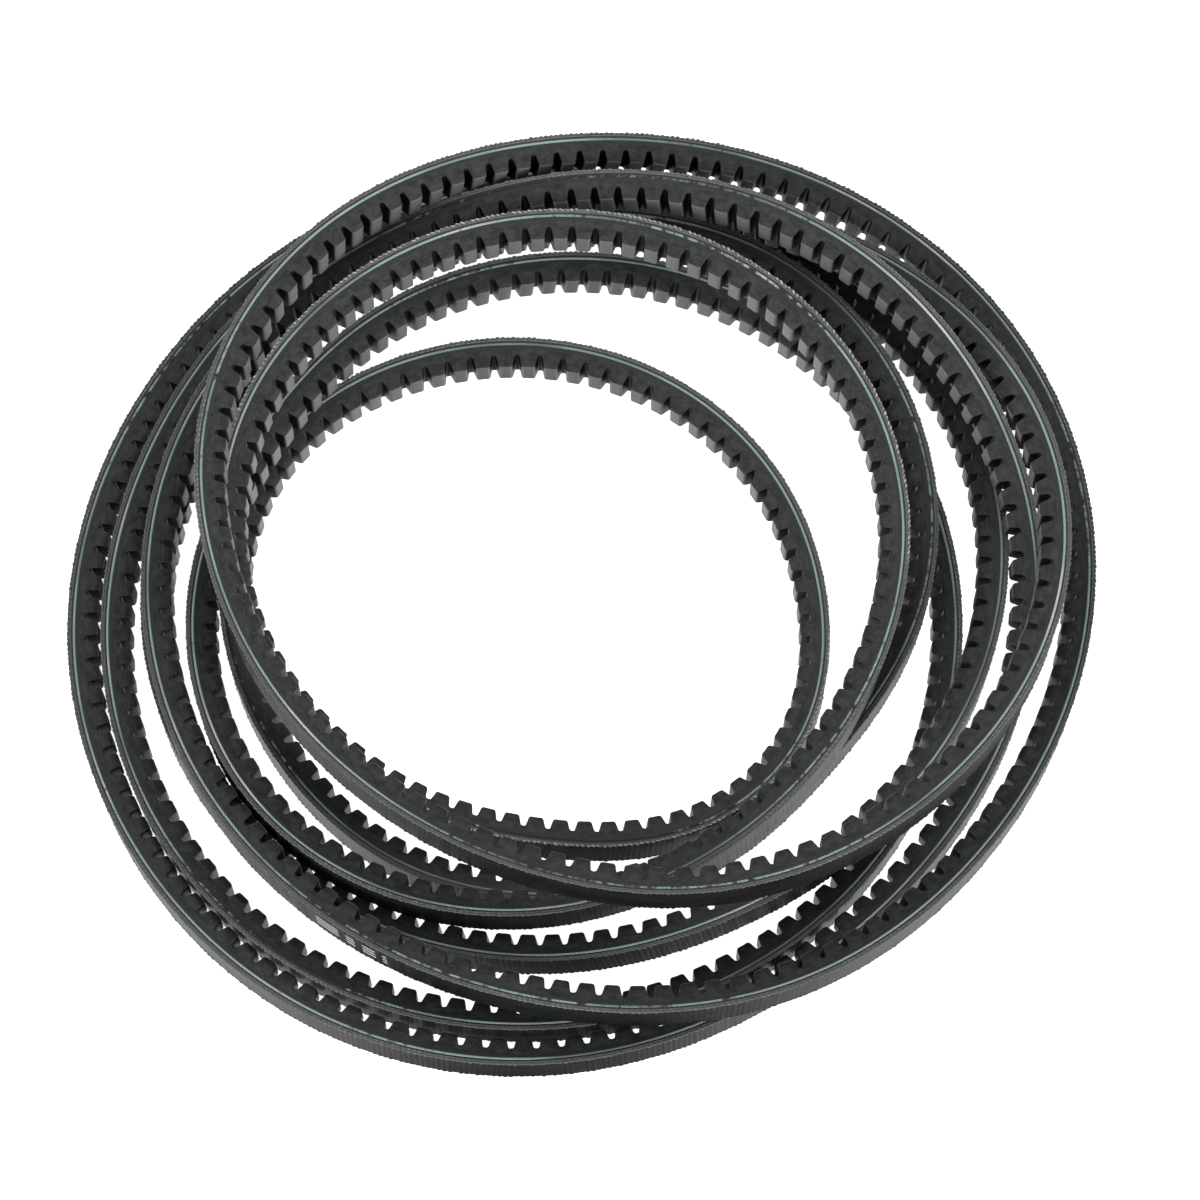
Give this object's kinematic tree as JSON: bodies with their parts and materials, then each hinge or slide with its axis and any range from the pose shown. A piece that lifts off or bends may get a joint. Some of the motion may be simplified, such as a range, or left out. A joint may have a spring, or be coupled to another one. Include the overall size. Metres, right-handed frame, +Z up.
{
  "type": "v belt",
  "caption": "Endless raw-edge cogged V belt for power transmission, layered rubber with cord and fabric backing, lying in a loose coil.",
  "frame": {"origin": "middle of the coil's outline, on the surface that it lies on", "axes": "+Z up through the coil, square to the surface; the belt runs anticlockwise seen from above"},
  "size_m": [0.2822, 0.2648, 0.0509],
  "materials": {
    "outer_fabric_ply": "woven backing cloth, rubberised, matt",
    "inner_fabric_ply": "woven backing cloth, rubberised, cut threads pale at the edge",
    "tie_rubber": "matt black",
    "tension_cords": "cut polyester cord, pale teal, satin",
    "cushion_rubber": "ground raw edge, matt black",
    "cogged_rubber": "ground raw edge and moulded cogs, matt charcoal"
  },
  "bodies": {
    "root": {"turn_1_outer_fabric_ply": "outer_fabric_ply", "turn_1_inner_fabric_ply": "inner_fabric_ply", "turn_1_tie_rubber": "tie_rubber", "turn_1_tension_cords": "tension_cords", "turn_1_cushion_rubber": "cushion_rubber", "turn_1_cogged_rubber": "cogged_rubber", "turn_2_outer_fabric_ply": "outer_fabric_ply", "turn_2_inner_fabric_ply": "inner_fabric_ply", "turn_2_tie_rubber": "tie_rubber", "turn_2_tension_cords": "tension_cords", "turn_2_cushion_rubber": "cushion_rubber", "turn_2_cogged_rubber": "cogged_rubber", "turn_3_outer_fabric_ply": "outer_fabric_ply", "turn_3_inner_fabric_ply": "inner_fabric_ply", "turn_3_tie_rubber": "tie_rubber", "turn_3_tension_cords": "tension_cords", "turn_3_cushion_rubber": "cushion_rubber", "turn_3_cogged_rubber": "cogged_rubber", "turn_4_outer_fabric_ply": "outer_fabric_ply", "turn_4_inner_fabric_ply": "inner_fabric_ply", "turn_4_tie_rubber": "tie_rubber", "turn_4_tension_cords": "tension_cords", "turn_4_cushion_rubber": "cushion_rubber", "turn_4_cogged_rubber": "cogged_rubber", "turn_5_outer_fabric_ply": "outer_fabric_ply", "turn_5_inner_fabric_ply": "inner_fabric_ply", "turn_5_tie_rubber": "tie_rubber", "turn_5_tension_cords": "tension_cords", "turn_5_cushion_rubber": "cushion_rubber", "turn_5_cogged_rubber": "cogged_rubber", "turn_6_outer_fabric_ply": "outer_fabric_ply", "turn_6_inner_fabric_ply": "inner_fabric_ply", "turn_6_tie_rubber": "tie_rubber", "turn_6_tension_cords": "tension_cords", "turn_6_cushion_rubber": "cushion_rubber", "turn_6_cogged_rubber": "cogged_rubber", "turn_7_outer_fabric_ply": "outer_fabric_ply", "turn_7_inner_fabric_ply": "inner_fabric_ply", "turn_7_tie_rubber": "tie_rubber", "turn_7_tension_cords": "tension_cords", "turn_7_cushion_rubber": "cushion_rubber", "turn_7_cogged_rubber": "cogged_rubber", "turn_8_outer_fabric_ply": "outer_fabric_ply", "turn_8_inner_fabric_ply": "inner_fabric_ply", "turn_8_tie_rubber": "tie_rubber", "turn_8_tension_cords": "tension_cords", "turn_8_cushion_rubber": "cushion_rubber", "turn_8_cogged_rubber": "cogged_rubber"}
  },
  "joints": []
}
